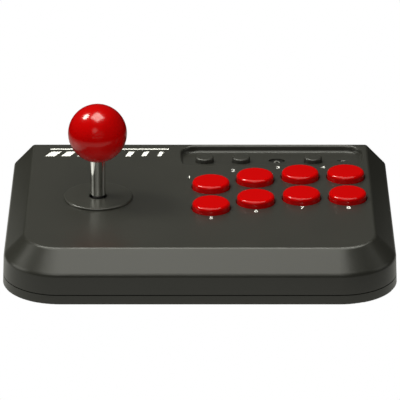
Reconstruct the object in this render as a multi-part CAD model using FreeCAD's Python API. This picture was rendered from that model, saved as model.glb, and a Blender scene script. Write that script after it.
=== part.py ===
import FreeCAD
import Part
import math
import os

Vector = FreeCAD.Vector

# Millimetres. The origin is on the ground under the middle of the body. The front faces -Y.

# Body
body_width = 201.7
body_depth = 149.1
panel_height = 28.05
wall_top_height = 17.0
seam_height = 6.3
foot_standoff = 1.2
wall_draft_run = 0.65
side_slope_run = 10.6
front_slope_run = 9.6
body_corner_radius = 30.0
panel_corner_radius = 19.0
panel_edge_fillet = 2.2
wall_edge_fillet = 3.5
back_edge_fillet = 0.6
base_edge_fillet = 0.6
shell_wall = 2.4
floor_thickness = 2.0
seam_gap = 0.5
lip_thickness = 1.2
lip_height = 2.5
lip_clearance = 0.15
rib_count = 4
rib_pitch = 22.0
rib_side_inset = 26.0
rib_length = 92.0
rib_height = 3.0
rib_thickness = 1.2

# Menu recess, a wedge that deepens towards the back
recess_width = 96.4
recess_length = 27.3
recess_side_inset = 14.25
recess_back_inset = 1.9
recess_depth = 3.8
recess_corner_radius = 9.0
recess_foot_fillet = 1.4
recess_rim_fillet = 1.1

# Action buttons, as columns of (inset from the right side, inset of the lower row from the back)
button_insets = ((95.05, 87.3), (71.85, 78.5), (47.95, 74.2), (23.95, 73.9))
button_row_pitch = 28.5
button_radius = 9.8
button_rise = 3.5
button_edge_radius = 1.6
button_travel = 2.0
button_clearance = 0.3
button_wall = 1.5
button_flange_lip = 1.1
button_flange_thickness = 1.2
button_stem_radius = 3.2
button_stem_drop = 2.3
collar_wall = 1.4
collar_depth = 3.0
stop_clearance = 0.05
hole_edge_chamfer = 0.4

# Menu row, with insets from the right side and the back
menu_row_inset = 22.0
home_row_inset = 20.2
menu_button_insets = (98.3, 78.88, 40.52)
home_button_inset = 59.75
menu_button_radius = 4.8
menu_button_rise = 1.95
menu_button_edge_radius = 0.9
menu_travel = 0.8
home_button_radius = 4.2
home_button_sink = 0.8
menu_clearance = 0.25
menu_flange_lip = 1.1
menu_flange_thickness = 1.0
menu_stem_radius = 2.0
menu_collar_wall = 2.4
menu_collar_drop = 4.4
lens_inset = 26.65
lens_radius = 1.1
lens_clearance = 0.05
lens_flange_lip = 0.9
lens_flange_thickness = 0.8
lens_proud = 0.1

# Lever
lever_side_inset = 47.91
lever_back_inset = 73.4
lever_tilt = 8.0
pivot_depth = 4.5
ball_radius = 15.25
ball_centre_height = 64.1
ball_flat_radius = 5.0
ball_thread_depth = 18.0
shaft_radius = 3.0
shaft_neck_radius = 2.5
sleeve_radius = 4.0
sleeve_bore_clearance = 0.15
washer_radius = 18.0
washer_thickness = 1.2
washer_edge_fillet = 0.8
washer_clearance = 0.15
hub_radius = 5.6
hub_above_pivot = 3.0
hub_below_pivot = 2.4
ring_inner_radius = 6.9
ring_outer_radius = 9.8
ring_height = 4.0
pin_radius = 1.0
pin_end_margin = 0.4
running_clearance = 0.05
press_clearance = 0.01
swing_clearance = 0.5

# Cradle under the panel, and what hangs from it
cradle_collar_wall = 3.0
cradle_plate_half = 16.2
cradle_plate_corner = 3.5
cradle_seat_thickness = 1.0
cradle_pocket_depth = 1.5
cradle_lug_offset = 20.0
cradle_lug_radius = 4.0
cradle_boss_radius = 3.0
cradle_post_offset = 13.0
cradle_post_radius = 2.6
rocker_arm_length = 13.5
rocker_arm_width = 7.0
rocker_thickness = 2.0
rocker_hub_radius = 6.0
rocker_hub_rise = 1.2
rocker_dome_offset = 11.0
rocker_dome_gap = 0.1
clip_radius = 4.8
clip_thickness = 0.6
clip_groove_depth = 0.5
clip_mouth = 3.4
clip_clearance = 0.05
spring_radius = 7.4
spring_wire_radius = 0.45
spring_half_turns = 6
gate_thickness = 2.0
gate_clearance = 0.15
gate_floor_clearance = 0.6
tail_proud = 0.3
tail_chamfer = 0.75

# Boards, domes and what sits on the boards
board_thickness = 1.6
board_border = 1.0
board_corner_radius = 3.0
mat_thickness = 1.0
mat_margin = 8.0
mat_corner_radius = 5.0
mat_boss_clearance = 0.5
dome_pressed_height = 2.4
dome_base_radius = 5.4
dome_top_radius = 3.6
dome_wall = 0.8
menu_dome_pressed_height = 1.8
menu_dome_base_radius = 4.0
menu_dome_top_radius = 2.4
menu_mat_margin = 4.6
lever_dome_height = 3.0
lever_dome_base_radius = 3.4
lever_dome_top_radius = 2.2
board_boss_radius = 3.0
chip_size = 10.0
chip_thickness = 1.4
chip_corner_radius = 0.5
chip_side_inset = 59.8
chip_back_inset = 40.2
socket_length = 12.0
socket_width = 6.0
socket_height = 5.0
socket_wall = 0.9
socket_inset = 92.8
led_length = 2.0
led_width = 1.25
led_height = 0.8
ribbon_width = 9.0
ribbon_thickness = 0.9
ribbon_bend_radius = 4.0
ribbon_overlap = 4.0
lever_board_tab = 5.0

# Fasteners
screw_radius = 1.25
screw_pilot_clearance = 0.05
screw_hole_clearance = 0.35
screw_head_radius = 2.4
screw_head_height = 1.2
screw_head_chamfer = 0.4
screw_point = 0.6
screw_tip_length = 0.8
screw_bite = 5.0
case_screw_side_inset = 38.8
case_screw_end_inset = 10.5
case_post_rise = 4.0
case_post_radius = 4.2
case_boss_radius = 3.6
case_head_seat = 3.8
head_clearance = 0.5

# Feet and gland
foot_radius = 7.0
foot_edge_chamfer = 0.5
foot_pocket_depth = 0.8
foot_clearance = 0.1
foot_side_inset = 18.8
foot_end_inset = 18.2
gland_rise = 0.6
gland_bore_radius = 2.1
gland_neck_radius = 4.0
gland_flange_radius = 5.5
gland_flange_thickness = 1.0
gland_inner_flange_radius = 5.2
gland_inner_flange_thickness = 1.4
gland_clearance = 0.05

# How near two places are to count as one, and how round the end of a bar is (1 is a half circle)
tolerance = 0.01
bar_end_roundness = 0.98

# Worked out from the sizes above
right_x = body_width / 2
front_y = -body_depth / 2
back_y = body_depth / 2
slope_drop = panel_height - wall_top_height
panel_half_width = right_x - wall_draft_run - side_slope_run
panel_front_y = front_y + wall_draft_run + front_slope_run
panel_underside = panel_height - shell_wall
upper_seam = seam_height + seam_gap / 2
lower_seam = seam_height - seam_gap / 2
floor_top = foot_standoff + floor_thickness
slope_angle = math.atan2(side_slope_run, slope_drop)
recess_right = right_x - recess_side_inset
recess_left = recess_right - recess_width
recess_back = back_y - recess_back_inset
recess_front = recess_back - recess_length
recess_angle = math.asin(recess_depth / recess_length)
recess_run = recess_length * math.cos(recess_angle)

lower_row = [(right_x - side, back_y - back) for side, back in button_insets]
upper_row = [(x, y + button_row_pitch) for x, y in lower_row]
button_places = upper_row + lower_row
menu_row_y = back_y - menu_row_inset
menu_places = [(right_x - inset, menu_row_y) for inset in menu_button_insets]
home_row_y = back_y - home_row_inset
home_place = (right_x - home_button_inset, home_row_y)
lens_place = (right_x - lens_inset, home_row_y)
button_top = panel_height + button_rise
dome_height = dome_pressed_height + button_travel
menu_dome_height = menu_dome_pressed_height + menu_travel
flange_top = panel_underside - collar_depth - stop_clearance
stem_bottom = flange_top - button_flange_thickness - button_stem_drop
board_top = stem_bottom - dome_height
board_bottom = board_top - board_thickness
mat_top = board_top + mat_thickness
menu_collar_bottom = panel_height - menu_collar_drop
menu_flange_top = menu_collar_bottom - stop_clearance
menu_button_top = panel_height + menu_button_rise
menu_stem_bottom = board_top + menu_dome_height
home_floor = panel_height - (home_row_y - recess_front) * math.tan(recess_angle)

lever_x = lever_side_inset - right_x
lever_y = back_y - lever_back_inset
lever_axis = (lever_x, lever_y)
pivot_height = panel_height - pivot_depth
single_tilt = math.radians(lever_tilt)
corner_tilt = math.acos(math.cos(single_tilt) ** 2)
collar_inner_radius = math.hypot(ring_outer_radius, ring_height / 2) + swing_clearance * 2
collar_outer_radius = collar_inner_radius + cradle_collar_wall
ring_reach = ring_outer_radius * math.sin(single_tilt) + ring_height / 2
cradle_seat_top = pivot_height - ring_reach - swing_clearance
cradle_seat_bottom = cradle_seat_top - cradle_seat_thickness
cradle_plate_bottom = cradle_seat_bottom - cradle_pocket_depth
gate_bottom = floor_top + gate_floor_clearance + screw_head_height
gate_top = gate_bottom + gate_thickness
lever_board_top = gate_top + board_thickness
lever_mat_top = lever_board_top + mat_thickness
rocker_bottom = lever_board_top + lever_dome_height + rocker_dome_gap
rocker_top = rocker_bottom + rocker_thickness
tail_bottom = gate_bottom + tail_proud
ball_flat_height = ball_centre_height - math.sqrt(ball_radius ** 2 - ball_flat_radius ** 2)
shaft_top = ball_flat_height + ball_thread_depth
washer_top = panel_height + washer_thickness
sleeve_dip = sleeve_radius * math.sin(corner_tilt)
sleeve_lift = washer_top + washer_clearance + sleeve_dip - pivot_height
sleeve_bottom = pivot_height + sleeve_lift / math.cos(corner_tilt)
screw_pilot_radius = screw_radius + screw_pilot_clearance
screw_hole_radius = screw_radius + screw_hole_clearance
case_post_top = upper_seam + case_post_rise
button_hole_radius = button_radius + button_clearance
menu_hole_radius = menu_button_radius + menu_clearance
lens_hole_radius = lens_radius + lens_clearance
lip_top = upper_seam + lip_height
foot_pocket_top = foot_standoff + foot_pocket_depth
gland_height = lip_top + gland_rise + gland_inner_flange_radius
lever_board_edge = lever_x + cradle_plate_half + lever_board_tab

case_screw_x = right_x - case_screw_side_inset
case_screw_y = back_y - case_screw_end_inset
foot_x = right_x - foot_side_inset
foot_y = back_y - foot_end_inset
case_screw_places = [(x, -case_screw_y) for x in (-case_screw_x, 0, case_screw_x)]
case_screw_places += [(x, case_screw_y) for x in (-case_screw_x, case_screw_x)]
foot_places = {
    "front_left": (-foot_x, -foot_y),
    "front_right": (foot_x, -foot_y),
    "rear_left": (-foot_x, foot_y),
    "rear_right": (foot_x, foot_y),
}
side_directions = [(1, 0), (0, 1), (-1, 0), (0, -1)]
corner_directions = [(1, 1), (-1, 1), (-1, -1), (1, -1)]


def round_lever(directions, offset):
    return [(lever_x + i * offset, lever_y + j * offset) for i, j in directions]


lug_places = round_lever(side_directions, cradle_lug_offset)
post_places = round_lever(corner_directions, cradle_post_offset)


def middle(*places):
    return tuple(sum(values) / len(places) for values in zip(*places))


board_boss_places = [
    middle(button_places[0], button_places[1], button_places[4], button_places[5]),
    middle(button_places[2], button_places[3], button_places[6], button_places[7]),
    middle(button_places[0], button_places[1], menu_places[0], menu_places[1]),
    middle(button_places[2], button_places[3], menu_places[2], lens_place),
]


# Reach of a round rod on the lever axis, at one level, when the lever is in a corner.
def swing(height, radius):
    return abs(height - pivot_height) * math.tan(corner_tilt) + radius / math.cos(corner_tilt)


def rod(place, radius, bottom, top):
    return Part.makeCylinder(radius, top - bottom, Vector(place[0], place[1], bottom))


def rods(places, radius, bottom, top):
    return [rod(place, radius, bottom, top) for place in places]


# Solid of revolution about a vertical axis, from a closed list of edges in the XZ plane.
def turned(profile, place=(0, 0)):
    face = Part.Face(Part.Wire(profile))
    solid = face.revolve(Vector(0, 0, 0), Vector(0, 0, 1), 360)
    return solid.translated(Vector(place[0], place[1], 0))


# Plain tube on the lever axis.
def lever_tube(inner, outer, bottom, top):
    return turned(half_section((inner, bottom), (outer, bottom), (outer, top), (inner, top)), lever_axis)


# Closed outline of straight edges through (radius, height) points.
def half_section(*points):
    corners = [Vector(radius, 0, height) for radius, height in points]
    return Part.makePolygon(corners + corners[:1]).Edges


# Flat plate with round corners.
def plate(x_range, y_range, z_range, corner_radius):
    block = Part.makeBox(
        x_range[1] - x_range[0],
        y_range[1] - y_range[0],
        z_range[1] - z_range[0],
        Vector(x_range[0], y_range[0], z_range[0]),
    )
    uprights = [edge for edge in block.Edges if edge.tangentAt(edge.FirstParameter).z != 0]
    return block.makeFillet(corner_radius, uprights)


# Plan outline with round front corners and square back corners.
def body_outline(half_width, front, back, radius, height):
    arc_inset = radius * (1 - math.sqrt(0.5))
    left_back = Vector(-half_width, back, height)
    left_front = Vector(-half_width, front + radius, height)
    left_arc = Vector(-half_width + arc_inset, front + arc_inset, height)
    front_left = Vector(-half_width + radius, front, height)
    front_right = Vector(half_width - radius, front, height)
    right_arc = Vector(half_width - arc_inset, front + arc_inset, height)
    right_front = Vector(half_width, front + radius, height)
    right_back = Vector(half_width, back, height)
    return Part.Wire([
        Part.makeLine(left_back, left_front),
        Part.Arc(left_front, left_arc, front_left).toShape(),
        Part.makeLine(front_left, front_right),
        Part.Arc(front_right, right_arc, right_front).toShape(),
        Part.makeLine(right_front, right_back),
        Part.makeLine(right_back, left_back),
    ])


# Outline of the drafted walls at one height. The back is upright.
def wall_outline(inset, height):
    draft = wall_draft_run * (height - foot_standoff) / (wall_top_height - foot_standoff)
    half_width = right_x - draft - inset
    radius = body_corner_radius - draft - inset
    return body_outline(half_width, front_y + draft + inset, back_y - inset, radius, height)


def panel_outline(inset, back_inset, height):
    half_width = panel_half_width - inset
    radius = panel_corner_radius - inset
    return body_outline(half_width, panel_front_y + inset, back_y - back_inset, radius, height)


def prism(outline, top_outline):
    return Part.makeLoft([outline, top_outline], True, True)


# Edges that lie at one level, without those on the flat back.
def level_edges(solid, height):
    level = [edge for edge in solid.Edges if edge.BoundBox.ZLength < tolerance]
    level = [edge for edge in level if abs(edge.CenterOfMass.z - height) < tolerance]
    return [edge for edge in level if edge.BoundBox.YMin < back_y - tolerance]


def back_edges(solid):
    on_back = [edge for edge in solid.Edges if edge.BoundBox.YMin > back_y - tolerance]
    return [edge for edge in on_back if edge.BoundBox.ZMax > upper_seam + tolerance]


# Solid outer form above the seam: upright walls, a sloped band on three sides, a flat panel.
def body_form():
    walls = prism(wall_outline(0, upper_seam), wall_outline(0, wall_top_height))
    slopes = prism(wall_outline(0, wall_top_height), panel_outline(0, 0, panel_height))
    form = walls.fuse(slopes).removeSplitter()
    form = form.makeFillet(wall_edge_fillet, level_edges(form, wall_top_height))
    form = form.makeFillet(panel_edge_fillet, level_edges(form, panel_height))
    return form.makeFillet(back_edge_fillet, back_edges(form))


# Hollow of the top shell, one wall inside the outer form.
def body_cavity():
    knee = wall_top_height - shell_wall * math.tan(slope_angle / 2)
    panel_inset = shell_wall * math.tan((math.pi / 2 - slope_angle) / 2)
    walls = prism(wall_outline(shell_wall, upper_seam - shell_wall), wall_outline(shell_wall, knee))
    slopes = prism(wall_outline(shell_wall, knee), panel_outline(panel_inset, shell_wall, panel_underside))
    return walls.fuse(slopes).removeSplitter()


# Block with round back corners, laid on the recess floor and tilted with it.
def wedge_block(margin, bottom, top):
    x_range = (recess_left - margin, recess_right + margin)
    y_range = (-recess_run, recess_run + margin)
    return plate(x_range, y_range, (bottom, top), recess_corner_radius + margin)


def on_recess_floor(solid):
    solid.rotate(Vector(0, 0, 0), Vector(1, 0, 0), -math.degrees(recess_angle))
    return solid.translated(Vector(0, recess_front, panel_height))


def recess_cutter():
    block = wedge_block(0, 0, recess_run)
    foot = [edge for edge in block.Edges if edge.BoundBox.ZMax < tolerance and edge.BoundBox.YMax > 0]
    return on_recess_floor(block.makeFillet(recess_foot_fillet, foot))


# Wall under the recess floor and behind its back.
def recess_tray():
    return on_recess_floor(wedge_block(shell_wall, -shell_wall, recess_depth))


def recessed_form():
    form = body_form().cut(recess_cutter())
    rim = [edge for edge in level_edges(form, panel_height) if edge.BoundBox.XMin > recess_left - tolerance]
    rim = [edge for edge in rim if edge.BoundBox.XMax < recess_right + tolerance]
    rim = [edge for edge in rim if edge.BoundBox.YMin > recess_front - tolerance]
    return form.makeFillet(recess_rim_fillet, rim)


# Cutters that break the upper edge of holes in the panel.
def edge_chamfers(places, radius):
    bottom = panel_height - hole_edge_chamfer
    return [
        Part.makeCone(radius, radius + hole_edge_chamfer, hole_edge_chamfer, Vector(x, y, bottom))
        for x, y in places
    ]


# Pilot holes for screws that enter bosses from below.
def pilots(places, bottom):
    return rods(places, screw_pilot_radius, bottom, bottom + screw_bite)


# Pan-head screw that enters from below, with its head under the given seat.
def screw(place, seat, bite_bottom):
    tip = bite_bottom + screw_bite - screw_tip_length
    section = half_section(
        (0, seat - screw_head_height),
        (screw_head_radius - screw_head_chamfer, seat - screw_head_height),
        (screw_head_radius, seat - screw_head_height + screw_head_chamfer),
        (screw_head_radius, seat),
        (screw_radius, seat),
        (screw_radius, tip - screw_point),
        (screw_radius - screw_point, tip),
        (0, tip),
    )
    return turned(section, place)


def top_shell():
    collar_radius = button_hole_radius + collar_wall
    menu_collar_radius = menu_hole_radius + menu_collar_wall
    lens_collar_radius = lens_hole_radius + menu_collar_wall
    left_inside = [recess_tray()]
    left_inside += rods(button_places, collar_radius, panel_underside - collar_depth, panel_height)
    left_inside += rods(menu_places + [home_place], menu_collar_radius, menu_collar_bottom, panel_height)
    left_inside += rods([lens_place], lens_collar_radius, menu_collar_bottom, panel_height)
    left_inside += rods(board_boss_places, board_boss_radius, board_top, panel_height)
    left_inside += rods(lug_places, cradle_boss_radius, cradle_seat_top, panel_height)
    left_inside += rods(case_screw_places, case_boss_radius, case_post_top, panel_height)
    holes = rods(button_places, button_hole_radius, stem_bottom, button_top)
    holes += edge_chamfers(button_places, button_hole_radius)
    holes += rods(menu_places, menu_hole_radius, stem_bottom, button_top)
    holes += rods([home_place], home_button_radius + menu_clearance, stem_bottom, button_top)
    holes += rods([lens_place], lens_hole_radius, stem_bottom, button_top)
    holes += rods([lever_axis], collar_inner_radius, cradle_seat_top, button_top)
    holes += pilots(board_boss_places, board_top)
    holes += pilots(lug_places, cradle_seat_top)
    holes += pilots(case_screw_places, case_post_top)
    holes += gland_cutters()
    return recessed_form().cut(body_cavity().cut(left_inside)).cut(holes)


# Solid of revolution about the gland's axis, which runs straight back at the gland's height.
def gland_turned(section):
    solid = turned(section)
    solid.rotate(Vector(0, 0, 0), Vector(1, 0, 0), -90)
    return solid.translated(Vector(0, 0, gland_height))


# Hole through the back wall and the shallow seat for the gland's outer flange.
def gland_cutters():
    neck = gland_neck_radius + gland_clearance
    flange = gland_flange_radius + gland_clearance
    seat = back_y - gland_flange_thickness
    inside = back_y - shell_wall * 2
    hole = half_section((0, inside), (neck, inside), (neck, back_y), (0, back_y))
    outside = back_y + gland_flange_thickness
    counterbore = half_section((0, seat), (flange, seat), (flange, outside), (0, outside))
    return [gland_turned(hole), gland_turned(counterbore)]


def cable_gland():
    seat = back_y - gland_flange_thickness
    inner_wall = back_y - shell_wall - gland_clearance
    inner_end = inner_wall - gland_inner_flange_thickness
    return gland_turned(half_section(
        (gland_bore_radius, inner_end),
        (gland_inner_flange_radius, inner_end),
        (gland_inner_flange_radius, inner_wall),
        (gland_neck_radius, inner_wall),
        (gland_neck_radius, seat),
        (gland_flange_radius, seat),
        (gland_flange_radius, back_y),
        (gland_bore_radius, back_y),
    ))


def cover_rib(number):
    x = right_x - rib_side_inset - number * rib_pitch
    corner = Vector(x - rib_thickness / 2, -rib_length / 2, floor_top)
    return Part.makeBox(rib_thickness, rib_length, rib_height, corner)


def bottom_cover():
    lip_inset = shell_wall + lip_clearance
    pocket_inset = lip_inset + lip_thickness
    tray = prism(wall_outline(0, foot_standoff), wall_outline(0, lower_seam))
    base_edges = [edge for edge in tray.Edges if edge.BoundBox.ZMax < foot_standoff + tolerance]
    tray = tray.makeFillet(base_edge_fillet, base_edges)
    lip = prism(wall_outline(lip_inset, floor_top), wall_outline(lip_inset, lip_top))
    pocket = prism(wall_outline(pocket_inset, floor_top), wall_outline(pocket_inset, lip_top))
    posts = rods(case_screw_places, case_post_radius, floor_top, case_post_top)
    ribs = [cover_rib(number) for number in range(rib_count)]
    head_seat = foot_standoff + case_head_seat
    holes = rods(case_screw_places, screw_hole_radius, foot_standoff, case_post_top)
    holes += rods(case_screw_places, screw_head_radius + head_clearance, foot_standoff, head_seat)
    holes += rods(foot_places.values(), foot_radius + foot_clearance, foot_standoff, foot_pocket_top)
    return tray.fuse(lip).cut(pocket).fuse(posts + ribs).cut(holes).removeSplitter()


def foot(place):
    return turned(half_section(
        (0, 0),
        (foot_radius - foot_edge_chamfer, 0),
        (foot_radius, foot_edge_chamfer),
        (foot_radius, foot_pocket_top),
        (0, foot_pocket_top),
    ), place)


# Hollow cap with a round top edge, a stop flange and a stem that stands on a rubber dome.
def key_cap(place, radius, top, edge_radius, wall, flange_lip, flange_range, stem_radius, stem_end):
    rim = math.sqrt(0.5) * edge_radius
    arc_start = Vector(radius - edge_radius, 0, top)
    arc_middle = Vector(radius - edge_radius + rim, 0, top - edge_radius + rim)
    arc_end = Vector(radius, 0, top - edge_radius)
    low, high = flange_range
    corners = [
        arc_end,
        Vector(radius, 0, high),
        Vector(radius + flange_lip, 0, high),
        Vector(radius + flange_lip, 0, low),
        Vector(radius - wall, 0, low),
        Vector(radius - wall, 0, top - wall),
        Vector(stem_radius, 0, top - wall),
        Vector(stem_radius, 0, stem_end),
        Vector(0, 0, stem_end),
        Vector(0, 0, top),
        arc_start,
    ]
    edges = Part.makePolygon(corners).Edges
    return turned([Part.Arc(arc_start, arc_middle, arc_end).toShape()] + edges, place)


def action_button(place):
    flange_range = (flange_top - button_flange_thickness, flange_top)
    return key_cap(
        place, button_radius, button_top, button_edge_radius, button_wall,
        button_flange_lip, flange_range, button_stem_radius, stem_bottom,
    )


def menu_button(place, radius, top):
    flange_range = (menu_flange_top - menu_flange_thickness, menu_flange_top)
    return key_cap(
        place, radius, top, menu_button_edge_radius, button_wall,
        menu_flange_lip, flange_range, menu_stem_radius, menu_stem_bottom,
    )


def indicator_lens():
    flange_bottom = menu_flange_top - lens_flange_thickness
    top = home_floor - lens_radius * math.tan(recess_angle) + lens_proud
    return turned(half_section(
        (0, board_top + led_height),
        (lens_radius, board_top + led_height),
        (lens_radius, flange_bottom),
        (lens_radius + lens_flange_lip, flange_bottom),
        (lens_radius + lens_flange_lip, menu_flange_top),
        (lens_radius, menu_flange_top),
        (lens_radius, top),
        (0, top),
    ), lens_place)


def indicator_led():
    corner = Vector(lens_place[0] - led_length / 2, lens_place[1] - led_width / 2, board_top)
    return Part.makeBox(led_length, led_width, led_height, corner)


# Rubber sheet with hollow domes standing on it.
def dome_mat(x_range, y_range, bottom, places, height, base_radius, top_radius, holes):
    sheet_top = bottom + mat_thickness
    sheet = plate(x_range, y_range, (bottom, sheet_top), mat_corner_radius)
    domes = []
    hollows = []
    for place in places:
        domes.append(turned(half_section(
            (0, bottom),
            (base_radius, bottom),
            (base_radius, sheet_top),
            (top_radius, bottom + height - dome_wall),
            (top_radius, bottom + height),
            (0, bottom + height),
        ), place))
        hollows.append(turned(half_section(
            (0, bottom),
            (base_radius - dome_wall, bottom),
            (base_radius - dome_wall, sheet_top),
            (top_radius - dome_wall, bottom + height - dome_wall),
            (0, bottom + height - dome_wall),
        ), place))
    return sheet.fuse(domes).cut(hollows + holes)


def spread(places, margin):
    xs = [x for x, y in places]
    ys = [y for x, y in places]
    return (min(xs) - margin, max(xs) + margin), (min(ys) - margin, max(ys) + margin)


def button_dome_mat():
    x_range, y_range = spread(button_places, mat_margin)
    holes = rods(board_boss_places, board_boss_radius + mat_boss_clearance, board_top, mat_top)
    return dome_mat(
        x_range, y_range, board_top, button_places,
        dome_height, dome_base_radius, dome_top_radius, holes,
    )


def menu_dome_mat():
    places = menu_places + [home_place]
    x_range, y_range = spread(places, menu_mat_margin)
    return dome_mat(
        x_range, y_range, board_top, places,
        menu_dome_height, menu_dome_base_radius, menu_dome_top_radius, [],
    )


def button_board():
    x_range, y_range = spread(button_places, mat_margin + board_border)
    menu_y_range = spread(menu_places + [home_place], menu_mat_margin + board_border)[1]
    board = plate(x_range, (y_range[0], menu_y_range[1]), (board_bottom, board_top), board_corner_radius)
    return board.cut(rods(board_boss_places, screw_hole_radius, board_bottom, board_top))


def controller_chip():
    half = chip_size / 2
    centre_x = right_x - chip_side_inset
    centre_y = back_y - chip_back_inset
    x_range = (centre_x - half, centre_x + half)
    y_range = (centre_y - half, centre_y + half)
    z_range = (board_bottom - chip_thickness, board_bottom)
    return plate(x_range, y_range, z_range, chip_corner_radius)


# Open box header under the board, in front of the gland.
def lead_socket():
    left = right_x - socket_inset - socket_length / 2
    front = menu_row_y - socket_width / 2
    corner = Vector(left, front, board_bottom - socket_height)
    box = Part.makeBox(socket_length, socket_width, socket_height, corner)
    hollow = Part.makeBox(
        socket_length - socket_wall * 2,
        socket_width - socket_wall * 2,
        socket_height - socket_wall,
        corner + Vector(socket_wall, socket_wall, 0),
    )
    return box.cut(hollow)


# Flat lead from the top of the lever board to the underside of the button board.
def ribbon_lead():
    start_x = lever_board_edge - ribbon_overlap
    end_x = spread(button_places, mat_margin + board_border)[0][0] + ribbon_overlap
    low = lever_board_top + ribbon_thickness / 2
    high = board_bottom - ribbon_thickness / 2
    turn = math.acos(1 - (high - low) / 2 / ribbon_bend_radius)
    bend_run = ribbon_bend_radius * math.sin(turn)
    middle_x = (start_x + end_x) / 2
    half_arc = turn / 2
    side_run = ribbon_bend_radius * math.sin(half_arc)
    side_rise = ribbon_bend_radius * (1 - math.cos(half_arc))
    start = Vector(start_x, lever_y, low)
    lower_bend = Vector(middle_x - bend_run, lever_y, low)
    lower_arc = lower_bend + Vector(side_run, 0, side_rise)
    centre = Vector(middle_x, lever_y, (low + high) / 2)
    upper_bend = Vector(middle_x + bend_run, lever_y, high)
    upper_arc = upper_bend - Vector(side_run, 0, side_rise)
    end = Vector(end_x, lever_y, high)
    path = Part.Wire([
        Part.makeLine(start, lower_bend),
        Part.Arc(lower_bend, lower_arc, centre).toShape(),
        Part.Arc(centre, upper_arc, upper_bend).toShape(),
        Part.makeLine(upper_bend, end),
    ])
    half_width = Vector(0, ribbon_width / 2, 0)
    half_height = Vector(0, 0, ribbon_thickness / 2)
    corners = [
        start - half_width - half_height,
        start + half_width - half_height,
        start + half_width + half_height,
        start - half_width + half_height,
    ]
    section = Part.makePolygon(corners + corners[:1])
    return path.makePipeShell([section], True, False)


def dust_washer():
    hole = swing(washer_top, shaft_radius) + washer_clearance
    ring = lever_tube(hole, washer_radius, panel_height, washer_top)
    rims = [edge for edge in ring.Edges if edge.BoundBox.ZMin > washer_top - tolerance]
    return ring.makeFillet(washer_edge_fillet, rims)


def ball_top():
    centre = Vector(lever_x, lever_y, ball_centre_height)
    ball = Part.makeSphere(ball_radius, centre)
    below = Part.makeBox(
        ball_radius * 2, ball_radius * 2, ball_radius,
        Vector(lever_x - ball_radius, lever_y - ball_radius, ball_flat_height - ball_radius),
    )
    thread = rod(lever_axis, shaft_neck_radius + press_clearance, ball_flat_height, shaft_top)
    return ball.cut([below, thread])


# The sleeve stands on the shoulder of the shaft, just clear of the washer when the lever is in a corner.
def shaft_sleeve():
    bore = shaft_neck_radius + sleeve_bore_clearance
    return lever_tube(bore, sleeve_radius, sleeve_bottom, ball_flat_height)


def lever_shaft():
    groove_bottom = rocker_bottom - clip_thickness - clip_clearance
    groove_radius = shaft_radius - clip_groove_depth
    return turned(half_section(
        (0, tail_bottom),
        (shaft_radius - tail_chamfer, tail_bottom),
        (shaft_radius, tail_bottom + tail_chamfer),
        (shaft_radius, groove_bottom),
        (groove_radius, groove_bottom),
        (groove_radius, rocker_bottom),
        (shaft_radius, rocker_bottom),
        (shaft_radius, sleeve_bottom),
        (shaft_neck_radius, sleeve_bottom),
        (shaft_neck_radius, shaft_top),
        (0, shaft_top),
    ), lever_axis)


# Radial pins or pin holes on a ring's axis, left and right or front and back.
def pivot_rods(direction, radius, inner, outer):
    centre = Vector(lever_x, lever_y, pivot_height)
    return [
        Part.makeCylinder(radius, outer - inner, centre + direction * (side * inner), direction * side)
        for side in (1, -1)
    ]


side_axis = Vector(1, 0, 0)
front_axis = Vector(0, 1, 0)
outer_pin_inner = ring_inner_radius + pin_end_margin
inner_pin_inner = shaft_radius + pin_end_margin
inner_pin_outer = ring_outer_radius - pin_end_margin


def gimbal_outer_pins():
    return Part.makeCompound(pivot_rods(side_axis, pin_radius, outer_pin_inner, collar_outer_radius))


def gimbal_inner_pins():
    return Part.makeCompound(pivot_rods(front_axis, pin_radius, inner_pin_inner, inner_pin_outer))


def gimbal_ring():
    low = pivot_height - ring_height / 2
    high = pivot_height + ring_height / 2
    ring = lever_tube(ring_inner_radius, ring_outer_radius, low, high)
    running = pivot_rods(side_axis, pin_radius + running_clearance, 0, collar_outer_radius)
    pressed = pivot_rods(front_axis, pin_radius + press_clearance, 0, inner_pin_outer)
    return ring.cut(running + pressed)


def lever_hub():
    low = pivot_height - hub_below_pivot
    high = pivot_height + hub_above_pivot
    hub = lever_tube(shaft_radius + press_clearance, hub_radius, low, high)
    return hub.cut(pivot_rods(front_axis, pin_radius + running_clearance, shaft_radius, hub_radius))


# Bar with round ends, centred on the lever axis.
def lever_bar(half_x, half_y, z_range):
    x_range = (lever_x - half_x, lever_x + half_x)
    y_range = (lever_y - half_y, lever_y + half_y)
    return plate(x_range, y_range, z_range, min(half_x, half_y) * bar_end_roundness)


# Square plate round the lever axis, longer to the right by a tab.
def lever_plate(bottom, top, tab=0):
    x_range = (lever_x - cradle_plate_half, lever_x + cradle_plate_half + tab)
    y_range = (lever_y - cradle_plate_half, lever_y + cradle_plate_half)
    return plate(x_range, y_range, (bottom, top), cradle_plate_corner)


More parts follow.
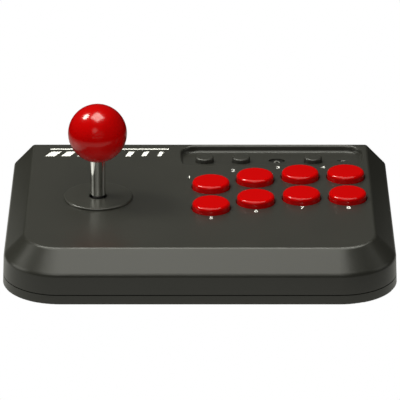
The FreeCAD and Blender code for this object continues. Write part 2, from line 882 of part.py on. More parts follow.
def lever_cradle():
    z_range = (cradle_plate_bottom, cradle_seat_top)
    reach = cradle_lug_offset + cradle_lug_radius
    block = lever_plate(*z_range)
    collar = rod(lever_axis, collar_outer_radius, cradle_plate_bottom, panel_underside)
    cross = [lever_bar(reach, cradle_lug_radius, z_range), lever_bar(cradle_lug_radius, reach, z_range)]
    posts = rods(post_places, cradle_post_radius, lever_board_top, cradle_plate_bottom)
    seat_hole = swing(cradle_seat_bottom, shaft_radius) + swing_clearance
    spring_pocket = spring_radius + spring_wire_radius * 2
    cuts = [rod(lever_axis, collar_inner_radius, cradle_seat_top, panel_underside)]
    cuts += [rod(lever_axis, seat_hole, cradle_seat_bottom, cradle_seat_top)]
    cuts += [rod(lever_axis, spring_pocket, cradle_plate_bottom, cradle_seat_bottom)]
    cuts += pivot_rods(side_axis, pin_radius + press_clearance, 0, collar_outer_radius)
    cuts += rods(lug_places, screw_hole_radius, *z_range)
    cuts += pilots(post_places, lever_board_top)
    return block.fuse([collar] + cross + posts).cut(cuts).removeSplitter()


def rocker_foot():
    half = rocker_arm_width / 2
    z_range = (rocker_bottom, rocker_top)
    hub_top = rocker_top + rocker_hub_rise
    sideways = lever_bar(rocker_arm_length, half, z_range)
    lengthways = lever_bar(half, rocker_arm_length, z_range)
    hub = rod(lever_axis, rocker_hub_radius, rocker_bottom, hub_top)
    bore = rod(lever_axis, shaft_radius + press_clearance, rocker_bottom, hub_top)
    return sideways.fuse([lengthways, hub]).cut(bore).removeSplitter()


def retaining_clip():
    top = rocker_bottom - clip_clearance / 2
    bottom = top - clip_thickness
    ring = lever_tube(shaft_radius - clip_groove_depth + clip_clearance, clip_radius, bottom, top)
    corner = Vector(lever_x, lever_y - clip_mouth / 2, bottom)
    return ring.cut(Part.makeBox(clip_radius, clip_mouth, clip_thickness, corner))


# Coil of half rings: the first and the last lie flat, and each of the others is tilted by its rise.
def centring_spring():
    low = rocker_top + spring_wire_radius
    rise = (cradle_seat_bottom - spring_wire_radius - low) / (spring_half_turns - 2)
    steps = [0] + [rise] * (spring_half_turns - 2) + [0]
    halves = []
    for number, step in enumerate(steps):
        half = Part.makeTorus(
            math.hypot(spring_radius, step / 2), spring_wire_radius, Vector(), Vector(0, 0, 1), 0, 360, 180
        )
        half.rotate(Vector(), Vector(0, 1, 0), math.degrees(math.atan2(step, spring_radius * 2)))
        half.rotate(Vector(), Vector(0, 0, 1), 180 * (number % 2))
        halves.append(half.translated(Vector(lever_x, lever_y, low + step / 2)))
        low += step
    return halves[0].fuse(halves[1:])


def lever_dome_mat():
    x_range = (lever_x - cradle_plate_half, lever_x + cradle_plate_half)
    y_range = (lever_y - cradle_plate_half, lever_y + cradle_plate_half)
    places = round_lever(side_directions, rocker_dome_offset)
    shaft_hole = swing(lever_board_top, shaft_radius) + swing_clearance
    holes = rods([lever_axis], shaft_hole, lever_board_top, lever_mat_top)
    holes += rods(post_places, cradle_post_radius + mat_boss_clearance, lever_board_top, lever_mat_top)
    return dome_mat(
        x_range, y_range, lever_board_top, places,
        lever_dome_height, lever_dome_base_radius, lever_dome_top_radius, holes,
    )


def lever_board():
    shaft_hole = swing(gate_top, shaft_radius) + swing_clearance
    holes = rods([lever_axis], shaft_hole, gate_top, lever_board_top)
    holes += rods(post_places, screw_hole_radius, gate_top, lever_board_top)
    return lever_plate(gate_top, lever_board_top, lever_board_tab).cut(holes)


def gate_plate():
    reach = (pivot_height - gate_bottom) * math.tan(single_tilt) / math.cos(single_tilt)
    half = reach + shaft_radius / math.cos(corner_tilt) + gate_clearance
    corner = Vector(lever_x - half, lever_y - half, gate_bottom)
    opening = Part.makeBox(half * 2, half * 2, gate_thickness, corner)
    holes = rods(post_places, screw_hole_radius, gate_bottom, gate_top)
    return lever_plate(gate_bottom, gate_top).cut([opening] + holes)


def screws(places, seat, bite_bottom):
    return Part.makeCompound([screw(place, seat, bite_bottom) for place in places])


nodes = {
    "top_shell": top_shell(),
    "bottom_cover": bottom_cover(),
    "case_screws": screws(case_screw_places, foot_standoff + case_head_seat, case_post_top),
    "cable_gland": cable_gland(),
    "button_board": button_board(),
    "board_screws": screws(board_boss_places, board_bottom, board_top),
    "button_dome_mat": button_dome_mat(),
    "menu_dome_mat": menu_dome_mat(),
    "controller_chip": controller_chip(),
    "lead_socket": lead_socket(),
    "ribbon_lead": ribbon_lead(),
    "indicator_lens": indicator_lens(),
    "indicator_led": indicator_led(),
    "dust_washer": dust_washer(),
    "lever_cradle": lever_cradle(),
    "cradle_screws": screws(lug_places, cradle_plate_bottom, cradle_seat_top),
    "gimbal_outer_pins": gimbal_outer_pins(),
    "centring_spring": centring_spring(),
    "lever_dome_mat": lever_dome_mat(),
    "lever_board": lever_board(),
    "gate_plate": gate_plate(),
    "gate_screws": screws(post_places, gate_bottom, lever_board_top),
    "gimbal_ring": gimbal_ring(),
    "gimbal_inner_pins": gimbal_inner_pins(),
    "lever_shaft": lever_shaft(),
    "lever_hub": lever_hub(),
    "shaft_sleeve": shaft_sleeve(),
    "ball_top": ball_top(),
    "rocker_foot": rocker_foot(),
    "retaining_clip": retaining_clip(),
    "home_button": menu_button(home_place, home_button_radius, home_floor - home_button_sink),
}
for corner, place in foot_places.items():
    nodes["foot_" + corner] = foot(place)
for number, place in enumerate(button_places, 1):
    nodes["action_button_%d" % number] = action_button(place)
for number, place in enumerate(menu_places, 1):
    nodes["menu_button_%d" % number] = menu_button(place, menu_button_radius, menu_button_top)

os.makedirs("parts", exist_ok=True)
for name, shape in nodes.items():
    shape.exportStep("parts/%s.step" % name)
    print(name, len(shape.Solids), round(shape.Volume, 2), shape.isValid())
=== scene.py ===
import bpy
import bmesh
import math
from mathutils import Matrix, Vector


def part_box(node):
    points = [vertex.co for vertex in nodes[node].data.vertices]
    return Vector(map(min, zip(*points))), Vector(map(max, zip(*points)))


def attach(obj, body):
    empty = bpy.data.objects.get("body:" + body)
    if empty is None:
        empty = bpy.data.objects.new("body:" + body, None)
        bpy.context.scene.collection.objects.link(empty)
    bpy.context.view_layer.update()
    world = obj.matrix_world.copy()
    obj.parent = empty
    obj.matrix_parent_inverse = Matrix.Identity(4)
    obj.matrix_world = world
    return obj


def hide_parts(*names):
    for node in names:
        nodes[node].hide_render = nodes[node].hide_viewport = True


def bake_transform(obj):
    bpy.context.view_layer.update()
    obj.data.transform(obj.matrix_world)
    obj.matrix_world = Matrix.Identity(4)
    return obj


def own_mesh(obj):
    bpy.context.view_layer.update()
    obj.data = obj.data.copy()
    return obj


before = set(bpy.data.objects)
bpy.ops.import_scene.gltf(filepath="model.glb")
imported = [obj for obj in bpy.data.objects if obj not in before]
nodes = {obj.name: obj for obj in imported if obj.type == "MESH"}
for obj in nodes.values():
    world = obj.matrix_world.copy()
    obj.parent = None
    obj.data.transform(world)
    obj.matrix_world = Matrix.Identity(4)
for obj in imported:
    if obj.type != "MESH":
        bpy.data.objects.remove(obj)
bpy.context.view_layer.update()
mm = 0.001
mergeDistance = 0.001 * mm  # points closer than this are one
buttonNodes = ["action_button_%d" % n for n in range(1, 9)]
menuNodes = ["menu_button_%d" % n for n in range(1, 4)]
print("frame loaded:", len(nodes), "nodes")


class Val:  # what a node gives, ready for sums
    def __init__(self, graph, socket):
        self.graph = graph
        self.socket = socket

    def calc(self, operation, first, second):
        return self.graph.node("ShaderNodeMath", {"operation": operation}, {0: first, 1: second})

    def __add__(self, other):
        return self.calc("ADD", self, other)

    def __radd__(self, other):
        return self.calc("ADD", other, self)

    def __sub__(self, other):
        return self.calc("SUBTRACT", self, other)

    def __rsub__(self, other):
        return self.calc("SUBTRACT", other, self)

    def __mul__(self, other):
        return self.calc("MULTIPLY", self, other)

    def __rmul__(self, other):
        return self.calc("MULTIPLY", other, self)

    def __truediv__(self, other):
        return self.calc("DIVIDE", self, other)

    def __rtruediv__(self, other):
        return self.calc("DIVIDE", other, self)


class Graph:  # a node tree: node() adds one node and gives back one of its outputs
    def __init__(self, tree):
        self.tree = tree

    def node(self, kind, settings=None, sockets=None, give=0):
        made = self.tree.nodes.new(kind)
        for key, value in (settings or {}).items():
            setattr(made, key, value)
        for key, value in (sockets or {}).items():
            for single in value if isinstance(value, list) else [value]:
                if isinstance(single, Val):
                    self.tree.links.new(single.socket, made.inputs[key])
                else:
                    made.inputs[key].default_value = single
        return Val(self, made.outputs[give]) if made.outputs else None


class Finish(Graph):  # one material
    def __init__(self, name):
        self.material = bpy.data.materials.new(name)
        self.material.use_nodes = True
        super().__init__(self.material.node_tree)
        self.tree.nodes.clear()
        self.place = self.node("ShaderNodeTexCoord", give="Object")

    def noise(self, size, detail=2.0):  # size of one blotch in metres
        return self.node(
            "ShaderNodeTexNoise", {}, {"Vector": self.place, "Scale": 1 / size, "Detail": detail}
        )

    def blend(self, amount, first, second):
        return self.node("ShaderNodeMix", {"data_type": "RGBA"}, {0: amount, 6: first, 7: second}, 2)

    def bump(self, height, strength, distance):
        return self.node(
            "ShaderNodeBump", {}, {"Height": height, "Strength": strength, "Distance": distance}
        )

    def surface(self, sockets):
        shader = self.node("ShaderNodeBsdfPrincipled", {}, sockets)
        self.node("ShaderNodeOutputMaterial", {}, {"Surface": shader})
        return self.material


class Shape(Graph):  # a Geometry Nodes tree with named sizes
    def __init__(self, name, sizes):
        super().__init__(bpy.data.node_groups.new(name, "GeometryNodeTree"))
        self.tree.interface.new_socket("Geometry", in_out="OUTPUT", socket_type="NodeSocketGeometry")
        self.sizes = sizes
        self.keys = {}
        for key, value in sizes.items():
            kind = "NodeSocketInt" if isinstance(value, int) else "NodeSocketFloat"
            socket = self.tree.interface.new_socket(key, in_out="INPUT", socket_type=kind)
            self.keys[key] = socket.identifier
        self.entry = self.tree.nodes.new("NodeGroupInput")

    def size(self, key):
        return Val(self, self.entry.outputs[key])

    def vector(self, x=0.0, y=0.0, z=0.0):
        return self.node("ShaderNodeCombineXYZ", {}, {"X": x, "Y": y, "Z": z})

    def join(self, *parts):
        return self.node("GeometryNodeJoinGeometry", {}, {0: list(parts)})

    def move(self, part, x=0.0, y=0.0, z=0.0):
        return self.node(
            "GeometryNodeTransform", {}, {"Geometry": part, "Translation": self.vector(x, y, z)}
        )

    def box(self, x, y, z):
        return self.node("GeometryNodeMeshCube", {}, {"Size": self.vector(x, y, z)})

    def drum(self, radius, depth, sides):
        return self.node(
            "GeometryNodeMeshCylinder", {}, {"Vertices": sides, "Radius": radius, "Depth": depth}
        )

    def row(self, count, start, step):
        return self.node(
            "GeometryNodeMeshLine", {}, {"Count": count, "Start Location": start, "Offset": step}
        )

    def repeat(self, points, part, scale=(1, 1, 1)):
        return self.node(
            "GeometryNodeInstanceOnPoints", {}, {"Points": points, "Instance": part, "Scale": scale}
        )

    def boolean(self, operation, sockets):
        return self.node("GeometryNodeMeshBoolean", {"operation": operation, "solver": "EXACT"}, sockets)

    def merge(self, part):
        return self.node(
            "GeometryNodeMergeByDistance", {}, {"Geometry": part, "Distance": mergeDistance}
        )

    def mesh(self, part, material):  # sets the sizes, then turns the tree's result into a plain mesh
        real = self.node("GeometryNodeRealizeInstances", {}, {0: part})
        painted = self.node("GeometryNodeSetMaterial", {}, {"Geometry": real, "Material": material})
        self.node("NodeGroupOutput", {}, {0: painted})
        holder = bpy.data.objects.new("holder", bpy.data.meshes.new("holder"))
        bpy.context.scene.collection.objects.link(holder)
        modifier = holder.modifiers.new("shape", "NODES")
        modifier.node_group = self.tree
        for key, identifier in self.keys.items():
            modifier[identifier] = self.sizes[key]
        depsgraph = bpy.context.evaluated_depsgraph_get()
        mesh = bpy.data.meshes.new_from_object(holder.evaluated_get(depsgraph))
        holder.modifiers.remove(modifier)
        bpy.data.objects.remove(holder)
        return mesh


def tone(red, green, blue, factor=1.0):
    return (red * factor, green * factor, blue * factor, 1.0)


housingLook = {
    "colour": (0.020, 0.020, 0.0168),
    "cloudSize": 30 * mm,
    "cloudDepth": 0.10,
    "cloudDetail": 3.0,
    "grainSize": 0.35 * mm,
    "rough": 0.31,
    "roughSpread": 0.05,
    "bumpHeight": 0.02 * mm,
    "bumpStrength": 0.08,
}


def mouldedPlastic(name, look):
    finish = Finish(name)
    cloud = finish.noise(look["cloudSize"], look["cloudDetail"])
    grain = finish.noise(look["grainSize"])
    low = tone(*look["colour"], 1 - look["cloudDepth"])
    high = tone(*look["colour"], 1 + look["cloudDepth"])
    spread = look["roughSpread"]
    sockets = {
        "Base Color": finish.blend(cloud, low, high),
        "Roughness": look["rough"] + (cloud - 0.5) * spread + (grain - 0.5) * spread,
        "Metallic": look.get("metallic", 0.0),
        "Specular IOR Level": look.get("specular", 0.5),
    }
    if look["bumpStrength"]:
        sockets["Normal"] = finish.bump(grain, look["bumpStrength"], look["bumpHeight"])
    return finish.surface(sockets)


washerLook = dict(housingLook, colour=(0.026, 0.026, 0.022), rough=0.30, grainSize=0.25 * mm)
sleeveLook = dict(
    housingLook, colour=(0.76, 0.76, 0.74), metallic=1.0, rough=0.10, roughSpread=0.02, bumpStrength=0
)
keyLook = dict(housingLook, colour=(0.018, 0.018, 0.015), rough=0.42)
ballLook = {
    "colour": (0.45, 0.0006, 0.0006),
    "cloudSize": 20 * mm,
    "cloudDepth": 0.03,
    "cloudDetail": 3.0,
    "grainSize": 1.5 * mm,
    "rough": 0.16,
    "roughSpread": 0.03,
    "bumpStrength": 0,
    "specular": 0.38,
}
buttonLook = dict(
    ballLook, colour=(0.42, 0.0005, 0.0005), rough=0.10, specular=0.3,
    cloudSize=9 * mm, grainSize=0.5 * mm,
)
rubberLook = dict(
    housingLook, colour=(0.018, 0.018, 0.018), rough=0.72, grainSize=0.5 * mm, bumpStrength=0.5
)
siliconeLook = dict(rubberLook, colour=(0.36, 0.36, 0.34), rough=0.6)
acetalLook = dict(housingLook, colour=(0.016, 0.016, 0.016), rough=0.42)
boardLook = dict(housingLook, colour=(0.012, 0.10, 0.035), rough=0.3, cloudSize=6 * mm)
socketLook = dict(acetalLook, colour=(0.62, 0.60, 0.54))
chipLook = dict(housingLook, colour=(0.014, 0.014, 0.015), rough=0.5)
ribbonLook = dict(rubberLook, colour=(0.22, 0.22, 0.23), rough=0.5)
lensLook = dict(ballLook, colour=(0.006, 0.007, 0.006), rough=0.30, specular=0.2)
printLook = dict(housingLook, colour=(0.80, 0.80, 0.78), rough=0.5, cloudDepth=0.03)
dimPrintLook = dict(printLook, colour=(0.16, 0.16, 0.15))
homeLook = dict(keyLook, colour=(0.006, 0.006, 0.005), rough=0.30)


steelLook = {
    "low": (0.44, 0.44, 0.45),
    "high": (0.58, 0.58, 0.58),
    "streakSize": 0.8 * mm,
    "streakDetail": 4.0,
    "rough": 0.24,
    "roughSpread": 0.18,
}


def turnedSteel(name, look):
    finish = Finish(name)
    streak = finish.noise(look["streakSize"], look["streakDetail"])
    return finish.surface({
        "Base Color": finish.blend(streak, tone(*look["low"]), tone(*look["high"])),
        "Metallic": 1.0,
        "Roughness": look["rough"] + streak * look["roughSpread"],
    })


looks = {
    "housing": (mouldedPlastic("housingPlastic", housingLook), ["top_shell", "bottom_cover"]),
    "keys": (mouldedPlastic("keyPlastic", keyLook), menuNodes),
    "home": (mouldedPlastic("homePlastic", homeLook), ["home_button"]),
    "washer": (mouldedPlastic("washerPlastic", washerLook), ["dust_washer"]),
    "sleeve": (mouldedPlastic("sleeveMetal", sleeveLook), ["shaft_sleeve"]),
    "ball": (mouldedPlastic("ballGloss", ballLook), ["ball_top"]),
    "buttons": (mouldedPlastic("buttonPlastic", buttonLook), buttonNodes),
    "rubber": (
        mouldedPlastic("footRubber", rubberLook),
        ["foot_front_left", "foot_front_right", "foot_rear_left", "foot_rear_right", "cable_gland"],
    ),
    "silicone": (
        mouldedPlastic("domeSilicone", siliconeLook),
        ["button_dome_mat", "menu_dome_mat", "lever_dome_mat"],
    ),
    "acetal": (
        mouldedPlastic("leverAcetal", acetalLook),
        ["lever_cradle", "gate_plate", "gimbal_ring", "lever_hub", "rocker_foot"],
    ),
    "board": (mouldedPlastic("boardLaminate", boardLook), ["button_board", "lever_board"]),
    "socket": (mouldedPlastic("socketPlastic", socketLook), ["lead_socket"]),
    "chip": (mouldedPlastic("chipPlastic", chipLook), ["controller_chip", "indicator_led"]),
    "ribbon": (mouldedPlastic("ribbonSkin", ribbonLook), ["ribbon_lead"]),
    "lens": (mouldedPlastic("smokedLens", lensLook), ["indicator_lens"]),
    "steel": (
        turnedSteel("turnedSteel", steelLook),
        ["lever_shaft", "retaining_clip", "centring_spring", "gimbal_outer_pins", "gimbal_inner_pins",
         "case_screws", "board_screws", "cradle_screws", "gate_screws"],
    ),
}
printWhite = mouldedPlastic("printWhite", printLook)
printGrey = mouldedPlastic("printGrey", dimPrintLook)


def dress():
    for material, names in looks.values():
        for name in names:
            mesh = nodes[name].data
            mesh.materials.clear()
            mesh.materials.append(material)


dress()
print("finishes:", len(looks) + 2)


def newPiece(name, mesh, body, material):  # no body leaves a piece unattached
    piece = bpy.data.objects.new(name, mesh)
    bpy.context.scene.collection.objects.link(piece)
    if material:
        mesh.materials.clear()
        mesh.materials.append(material)
    if body:
        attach(piece, body)
    return piece


panelTop = nodes["top_shell"].bound_box[6][2]
numberPrint = {
    "upperRow": 4,  # buttons in the upper row
    "size": 4.6 * mm,
    "thickness": 0.03 * mm,
    "upperOffset": (-11.4 * mm, 12.9 * mm),
    "lowerOffset": (0.0, -13.2 * mm),
}


def textMesh(text, size, thickness):
    curve = bpy.data.curves.new("text", "FONT")
    curve.body = text
    curve.size = size
    curve.extrude = thickness / 2
    curve.align_x = "CENTER"
    curve.align_y = "CENTER"
    holder = bpy.data.objects.new("text", curve)
    bpy.context.scene.collection.objects.link(holder)
    depsgraph = bpy.context.evaluated_depsgraph_get()
    mesh = bpy.data.meshes.new_from_object(holder.evaluated_get(depsgraph))
    bpy.data.objects.remove(holder)
    return mesh


def printNumbers():
    joined = bmesh.new()
    for number, name in enumerate(buttonNodes, 1):
        low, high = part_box(name)
        upper = number <= numberPrint["upperRow"]
        offset = numberPrint["upperOffset" if upper else "lowerOffset"]
        place = Vector(((low.x + high.x) / 2 + offset[0], (low.y + high.y) / 2 + offset[1], 0))
        place.z = panelTop + numberPrint["thickness"]
        mesh = textMesh(str(number), numberPrint["size"], numberPrint["thickness"])
        mesh.transform(Matrix.Translation(place))
        joined.from_mesh(mesh)
    bmesh.ops.remove_doubles(joined, verts=joined.verts, dist=mergeDistance)
    mesh = bpy.data.meshes.new("buttonNumbers")
    joined.to_mesh(mesh)
    joined.free()
    newPiece("buttonNumbers", mesh, "housing", printWhite)


stripePrint = {
    "count": 8,
    "pitch": 8.2 * mm,
    "barWidth": 5.2 * mm,
    "barDepth": 6.4 * mm,
    "thinning": 0.085,  # each bar is this much narrower than the one before
    "slant": 0.55,
    "left": -78.5 * mm,
    "barY": 60.85 * mm,
    "lineLength": 63.5 * mm,
    "lineDepth": 1.3 * mm,
    "lineY": 67.65 * mm,
    "lineX": -48.4 * mm,
    "thickness": 0.03 * mm,
    "height": panelTop,
}


def printStripes():
    shape = Shape("stripeShape", stripePrint)
    size = shape.size
    thickness = size("thickness")
    bar = shape.box(size("barWidth"), size("barDepth"), thickness)
    place = shape.node("GeometryNodeInputPosition")
    across = shape.node("ShaderNodeSeparateXYZ", {}, {0: place}, "Y")
    slanted = shape.node(
        "GeometryNodeSetPosition", {}, {"Geometry": bar, "Offset": shape.vector(across * size("slant"))}
    )
    middle = size("height") + thickness / 2
    points = shape.row(
        size("count"), shape.vector(size("left"), size("barY"), middle), shape.vector(size("pitch"))
    )
    number = shape.node("GeometryNodeInputIndex")
    bars = shape.repeat(points, slanted, shape.vector(1 - number * size("thinning"), 1.0, 1.0))
    line = shape.move(
        shape.box(size("lineLength"), size("lineDepth"), thickness), size("lineX"), size("lineY"), middle
    )
    mesh = shape.mesh(shape.join(bars, line), printWhite)
    newPiece("panelStripes", mesh, "housing", None)


homeMark = {  # a small house
    "corners": ((-1.5, -1.7), (1.5, -1.7), (1.5, 0.4), (0.0, 1.9), (-1.5, 0.4)),  # in millimetres
    "inner": 0.58,  # share of the corners that the inner line keeps
    "thickness": 0.03 * mm,
}


def printHomeMark():
    low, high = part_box("home_button")
    centre = Vector(((low.x + high.x) / 2, (low.y + high.y) / 2, high.z))
    form = bmesh.new()
    loops = []
    for share, level in ((1, 0), (homeMark["inner"], 0), (homeMark["inner"], 1), (1, 1)):
        height = level * homeMark["thickness"]
        loops.append([
            form.verts.new(centre + Vector((x * share * mm, y * share * mm, height)))
            for x, y in homeMark["corners"]
        ])
    count = len(homeMark["corners"])
    for one, two in zip(loops, loops[1:] + loops[:1]):
        for step in range(count):
            after = (step + 1) % count
            form.faces.new((one[step], one[after], two[after], two[step]))
    bmesh.ops.recalc_face_normals(form, faces=form.faces)
    mesh = bpy.data.meshes.new("homeSign")
    form.to_mesh(mesh)
    form.free()
    newPiece("homeSign", mesh, "home", printGrey)


lensMark = {
    "size": (2.0 * mm, 1.5 * mm, 0.03 * mm),
    "offset": 2.3 * mm,
    "rise": 0.07 * mm,  # floor of the recess over the top of the lens
    "slant": 0.5,
    "tilt": math.radians(-8.0),  # slope of the recess floor
}


def printLensMark():
    low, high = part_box("indicator_lens")
    form = bmesh.new()
    bmesh.ops.create_cube(form, size=1, matrix=Matrix.Diagonal((*lensMark["size"], 1)))
    for corner in form.verts:
        corner.co.x += corner.co.y * lensMark["slant"]
    place = (low + high) / 2 + Vector((lensMark["offset"], 0, 0))
    place.z = high.z + lensMark["rise"]
    form.transform(Matrix.Translation(place) @ Matrix.Rotation(lensMark["tilt"], 4, "X"))
    mesh = bpy.data.meshes.new("lensMark")
    form.to_mesh(mesh)
    form.free()
    newPiece("lensMark", mesh, "housing", printGrey)


printNumbers()
printStripes()
printHomeMark()
printLensMark()
print("print done")

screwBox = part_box("case_screws")
screwHead = 2.4 * mm
caseScrews = {
    "headRadius": screwHead,
    "headHeight": 1.2 * mm,
    "crownRadius": 1.9 * mm,
    "shankRadius": 1.2 * mm,
    "crownShare": 0.5,  # of the head's height
    "crownSpread": 0.97,  # of the head's radius, where the crown meets the rim
    "rimShare": 0.55,
    "rimMiddle": 0.725,
    "headSides": 40,
    "shankSides": 24,
    "crossLength": 2.5 * mm,
    "crossWidth": 0.55 * mm,
    "crossDepth": 0.75 * mm,
    "spacing": screwBox[1].x - screwHead,
    "rowY": screwBox[1].y - screwHead,
    "bottom": screwBox[0].z,
    "top": screwBox[1].z,
}


def makeScrews():
    shape = Shape("caseScrewShape", caseScrews)
    size = shape.size
    height = size("headHeight")
    sides = size("headSides")
    crownHeight = height * size("crownShare")
    shankLength = size("top") - size("bottom") - crownHeight
    crown = shape.node("GeometryNodeMeshCone", {}, {
        "Vertices": sides,
        "Radius Top": size("headRadius") * size("crownSpread"),
        "Radius Bottom": size("crownRadius"),
        "Depth": crownHeight,
    })
    rim = shape.drum(size("headRadius"), height * size("rimShare"), sides)
    rim = shape.move(rim, z=height * size("rimMiddle"))
    shank = shape.drum(size("shankRadius"), shankLength, size("shankSides"))
    shank = shape.move(shank, z=crownHeight + shankLength / 2)
    cross = [
        shape.box(size("crossLength"), size("crossWidth"), size("crossDepth") * 2),
        shape.box(size("crossWidth"), size("crossLength"), size("crossDepth") * 2),
    ]
    solid = shape.boolean("UNION", {"Mesh 2": [crown, rim, shank]})
    cut = shape.boolean("DIFFERENCE", {"Mesh 1": solid, "Mesh 2": cross})
    screw = shape.merge(cut)
    gap = size("spacing")
    front = shape.row(3, shape.vector(0 - gap, 0 - size("rowY"), size("bottom")), shape.vector(gap))
    back = shape.row(2, shape.vector(0 - gap, size("rowY"), size("bottom")), shape.vector(gap * 2))
    mesh = shape.mesh(shape.repeat(shape.join(front, back), screw), looks["steel"][0])
    piece = newPiece("coverScrews", mesh, "housing", None)
    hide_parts("case_screws")


makeScrews()
print("screws done")

softDomes = {  # rubber domes, apart from their sheets
    "wall": 0.8 * mm,
    "sheet": 1.0 * mm,
    "play": 0.02 * mm,
    "reach": 11.0 * mm,  # from the lever's axis to its four domes
    "steps": 32,
    "drumSides": 40,
    "drumDepth": 4,  # times a dome's height
    "button": {
        "mat": "button_dome_mat", "height": 4.4 * mm, "base": 5.4 * mm, "top": 3.6 * mm, "keep": 0.53,
    },
    "menu": {
        "mat": "menu_dome_mat", "height": 2.6 * mm, "base": 4.0 * mm, "top": 2.4 * mm, "keep": 0.67,
    },
    "lever": {
        "mat": "lever_dome_mat", "height": 2.6 * mm, "base": 3.4 * mm, "top": 2.2 * mm, "keep": 0.28,
    },
}


def middleOf(name, shift=(0, 0)):
    low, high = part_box(name)
    return (low + high) / 2 + Vector((*shift, 0))


def domePlaces(kind):  # each dome's place, with the joint that presses it
    if kind == "button":
        return [(middleOf(name), "press_button_%d" % n) for n, name in enumerate(buttonNodes, 1)]
    if kind == "menu":
        row = [(middleOf(name), "press_menu_%d" % n) for n, name in enumerate(menuNodes, 1)]
        return row + [(middleOf("home_button"), "press_home")]
    mat = softDomes["lever"]["mat"]
    reach = softDomes["reach"]
    sides = [(middleOf(mat, (x, 0)), "lever_left_right") for x in (-reach, reach)]
    return sides + [(middleOf(mat, (0, y)), "lever_front_back") for y in (-reach, reach)]


def domeMesh(rig, foot):
    wall = softDomes["wall"]
    sheet = softDomes["sheet"]
    base = rig["base"]
    top = rig["top"]
    height = rig["height"]
    outline = (
        (0, height), (top, height), (top, height - wall), (base, sheet), (base, 0),
        (base - wall, 0), (base - wall, sheet), (top - wall, height - wall), (0, height - wall),
    )
    form = bmesh.new()
    corners = [form.verts.new((radius, 0, level)) for radius, level in outline]
    edges = [form.edges.new(pair) for pair in zip(corners, corners[1:])]
    bmesh.ops.spin(
        form, geom=corners + edges, cent=(0, 0, 0), axis=(0, 0, 1), angle=math.tau,
        steps=softDomes["steps"],
    )
    bmesh.ops.remove_doubles(form, verts=form.verts, dist=mergeDistance)
    bmesh.ops.recalc_face_normals(form, faces=form.faces)
    form.transform(Matrix.Translation(foot))
    mesh = bpy.data.meshes.new("dome")
    form.to_mesh(mesh)
    form.free()
    return mesh


def sheetMesh(kind, rig, places):  # the mat with round holes in place of its domes
    shape = Shape(kind + "SheetShape", {
        "hole": rig["base"] + softDomes["play"],
        "depth": rig["height"] * softDomes["drumDepth"],
        "sides": softDomes["drumSides"],
    })
    size = shape.size
    level = middleOf(rig["mat"]).z
    whole = shape.node("GeometryNodeObjectInfo", {}, {"Object": nodes[rig["mat"]]}, "Geometry")
    drums = [
        shape.move(shape.drum(size("hole"), size("depth"), size("sides")), place.x, place.y, level)
        for place, _ in places
    ]
    cut = shape.boolean("DIFFERENCE", {"Mesh 1": shape.merge(whole), "Mesh 2": drums})
    return shape.mesh(shape.merge(cut), looks["silicone"][0])


def makeDomes():
    for kind in ("button", "menu", "lever"):
        rig = softDomes[kind]
        places = domePlaces(kind)
        sheet = newPiece(kind + "MatSheet", sheetMesh(kind, rig, places), "housing", None)
        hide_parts(rig["mat"])
        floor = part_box(rig["mat"])[0].z
        for number, (place, joint) in enumerate(places, 1):
            foot = Vector((place.x, place.y, floor))
            name = "%sDome%d" % (kind, number)
            dome = newPiece(name, domeMesh(rig, foot), "housing", looks["silicone"][0])
            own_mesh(dome)


def springPart(name, side, start, end):  # the CAD spring, cut off above or below the split
    form = bmesh.new()
    form.from_mesh(nodes["centring_spring"].data)
    bmesh.ops.remove_doubles(form, verts=form.verts, dist=mergeDistance)
    bmesh.ops.bisect_plane(
        form, geom=form.verts[:] + form.edges[:] + form.faces[:], dist=mergeDistance,
        plane_co=start if side < 0 else end, plane_no=(0, 0, side), clear_inner=True,
    )
    bmesh.ops.holes_fill(form, edges=[edge for edge in form.edges if edge.is_boundary])
    bmesh.ops.triangulate(form, faces=form.faces)
    bmesh.ops.recalc_face_normals(form, faces=form.faces)
    mesh = bpy.data.meshes.new(name)
    form.to_mesh(mesh)
    form.free()
    part = newPiece(name, mesh, None, looks["steel"][0])
    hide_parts("centring_spring")
    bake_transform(part)


springSplit = 0.42  # share of the height where the upper part meets the lower


def makeSpring():  # the spring as an upper and a lower part, cut at the split
    middle = middleOf("centring_spring")
    low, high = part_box("centring_spring")
    top = Vector((middle.x, middle.y, high.z))
    split = Vector((middle.x, middle.y, low.z + (high.z - low.z) * springSplit))
    bottom = Vector((middle.x, middle.y, low.z))
    springPart("springUpper", 1, top, split)
    springPart("springLower", -1, split, bottom)


makeDomes()
makeSpring()
print("soft pieces done")

cameraRig = {
    "place": (0.05 * mm, -1776.20 * mm, 781.03 * mm),
    "elevation": math.radians(23),
    "focalPixels": 3706.07,
    "pictureWidth": 400,
    "sensor": 36,  # in millimetres
    "clipEnd": 20,
}


def addCamera():
    data = bpy.data.cameras.new("camera")
    data.lens = cameraRig["focalPixels"] / cameraRig["pictureWidth"] * cameraRig["sensor"]
    data.sensor_width = cameraRig["sensor"]
    data.clip_end = cameraRig["clipEnd"]
    camera = bpy.data.objects.new("camera", data)
    camera.location = cameraRig["place"]
    camera.rotation_euler = (math.pi / 2 - cameraRig["elevation"], 0, 0)
    bpy.context.scene.collection.objects.link(camera)
    bpy.context.scene.camera = camera


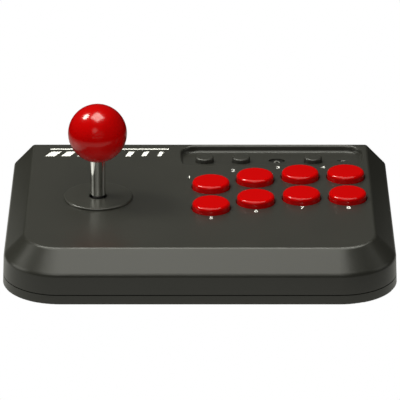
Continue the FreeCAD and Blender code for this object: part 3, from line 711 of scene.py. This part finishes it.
lampColour = (1.0, 1.0, 0.91)
keySide = (-0.58, 0.2, 0.79)
skySide = (-0.17, -0.62, 0.766)
zenith = (-0.03, -0.03, 1.0)
shell = ["top_shell"]
ball = ["ball_top"]
reds = ball + buttonNodes
studioLights = {  # in metres, each lamp aimed at the origin
    "key": {
        "from": keySide, "distance": 1.1, "shape": "DISK", "size": 0.34, "watts": 8.8, "spares": shell,
    },
    "keySoft": {
        "from": keySide, "distance": 1.1, "shape": "DISK", "size": 0.34, "watts": 8.8,
        "only": shell, "soft": True,
    },
    "edge": {  # a long strip for the line along the panel's edge
        "from": (0.0, 0.37, 0.93), "distance": 1.2, "shape": "RECTANGLE", "size": 1.6, "depth": 0.2,
        "watts": 8, "only": shell, "soft": False,
    },
    "overhead": {"from": zenith, "distance": 1.2, "size": 1.5, "watts": 16.6, "spares": ball},
    "glint": {"from": zenith, "distance": 1.2, "size": 0.68, "watts": 15, "only": ball, "soft": False},
    "crown": {
        "from": (0.0, 0.0, 1.0), "distance": 1.2, "size": 0.7, "watts": 9, "only": ball, "soft": True,
    },
    "front": {
        "from": (-0.18, -0.80, 0.56), "distance": 1.6, "shape": "DISK", "size": 0.5, "watts": 0.9,
    },
    "sky": {"from": skySide, "distance": 1.6, "size": 1.5, "watts": 9.6, "spares": reds},
    "wash": {
        "from": skySide, "distance": 1.6, "size": 1.5, "watts": 9.6, "only": buttonNodes, "soft": True,
    },
    "left": {"from": (-0.95, 0.0, 0.35), "distance": 1.6, "size": 0.9, "watts": 5, "spares": reds},
    "right": {"from": (0.95, 0.0, 0.35), "distance": 1.6, "size": 0.9, "watts": 1.6, "spares": reds},
    "back": {"from": (-0.1, 0.92, 0.40), "distance": 1.8, "size": 1.1, "watts": 0.36, "spares": reds},
    "below": {"from": (0.2, -0.3, -1.0), "distance": 1.2, "size": 1.2, "watts": 9, "spares": reds},
    "fill": {
        "from": (0.0, -0.9, 0.2), "distance": 1.6, "size": 1.2, "watts": 16.5, "only": ball, "soft": True,
    },
}


def linkNodes(lamp, names, state):  # a lamp leaves some nodes out, or lights only those
    held = bpy.data.collections.new(lamp.name + "Linked")
    for name in names:
        held.objects.link(nodes[name])
    lamp.light_linking.receiver_collection = held
    for entry in held.collection_objects:
        entry.light_linking.link_state = state


def addLights():
    for name, rig in studioLights.items():
        data = bpy.data.lights.new(name, "AREA")
        data.shape = rig.get("shape", "SQUARE")
        data.size = rig["size"]
        data.size_y = rig.get("depth", rig["size"])
        data.energy = rig["watts"]
        data.color = lampColour
        lamp = bpy.data.objects.new(name, data)
        direction = Vector(rig["from"]).normalized()
        lamp.location = direction * rig["distance"]
        lamp.rotation_euler = direction.to_track_quat("Z", "Y").to_euler()
        bpy.context.scene.collection.objects.link(lamp)
        if "spares" in rig:
            linkNodes(lamp, rig["spares"], "EXCLUDE")
        if "only" in rig:
            linkNodes(lamp, rig["only"], "INCLUDE")
            lamp.visible_glossy = not rig["soft"]  # a soft lamp gives shade, any other only gloss
            lamp.visible_diffuse = rig["soft"]


roomLight = {
    "seen": 1.0,  # what the camera sees of the room
    "cast": 0.02,  # what the room gives to the pieces
    "floorReach": 6,
    "floorPools": [  # patches of floor that shine in reflections
        {"glow": 0.62, "middle": (-0.04, -0.02, 0.0), "near": 0.12, "far": 0.28},
        {"glow": 0.6, "middle": (-0.165, 0.0, 0.0), "near": 0.0, "far": 0.06},
    ],
}


def addWorld():
    world = bpy.data.worlds.new("studio")
    bpy.context.scene.world = world
    world.use_nodes = True
    graph = Graph(world.node_tree)
    graph.tree.nodes.clear()
    seen = graph.node("ShaderNodeLightPath", give="Is Camera Ray")
    strength = seen * roomLight["seen"] + (1 - seen) * roomLight["cast"]
    shader = graph.node("ShaderNodeBackground", {}, {"Color": (1, 1, 1, 1), "Strength": strength})
    graph.node("ShaderNodeOutputWorld", {}, {"Surface": shader})


def addFloor():
    mesh = bpy.data.meshes.new("floor")
    form = bmesh.new()
    bmesh.ops.create_grid(form, x_segments=1, y_segments=1, size=roomLight["floorReach"])
    form.to_mesh(mesh)
    form.free()
    floor = bpy.data.objects.new("floor", mesh)
    bpy.context.scene.collection.objects.link(floor)
    finish = Finish("floorPaint")
    seen = finish.node("ShaderNodeLightPath", give="Is Camera Ray")
    bounced = 0.0
    for pool in roomLight["floorPools"]:
        ends = {0: finish.place, 1: pool["middle"]}
        away = finish.node("ShaderNodeVectorMath", {"operation": "DISTANCE"}, ends, "Value")
        bounced = bounced + finish.node("ShaderNodeMapRange", {"interpolation_type": "SMOOTHSTEP"}, {
            "Value": away, "From Min": pool["near"], "From Max": pool["far"],
            "To Min": pool["glow"], "To Max": 0.0,
        })
    tint = finish.node("ShaderNodeVectorMath", {"operation": "SCALE"}, {0: lampColour, "Scale": bounced})
    glow = finish.node("ShaderNodeEmission", {}, {"Color": finish.blend(seen, tint, (1, 1, 1, 1))})
    under = finish.node("ShaderNodeNewGeometry", give="Backfacing")  # clear from below
    clear = finish.node("ShaderNodeBsdfTransparent")
    shown = finish.node("ShaderNodeMixShader", {}, {0: under, 1: glow, 2: clear})
    finish.node("ShaderNodeOutputMaterial", {}, {"Surface": shown})
    mesh.materials.append(finish.material)


addCamera()
addLights()
addWorld()
addFloor()
bpy.context.scene.view_settings.view_transform = "Standard"
print("studio set")
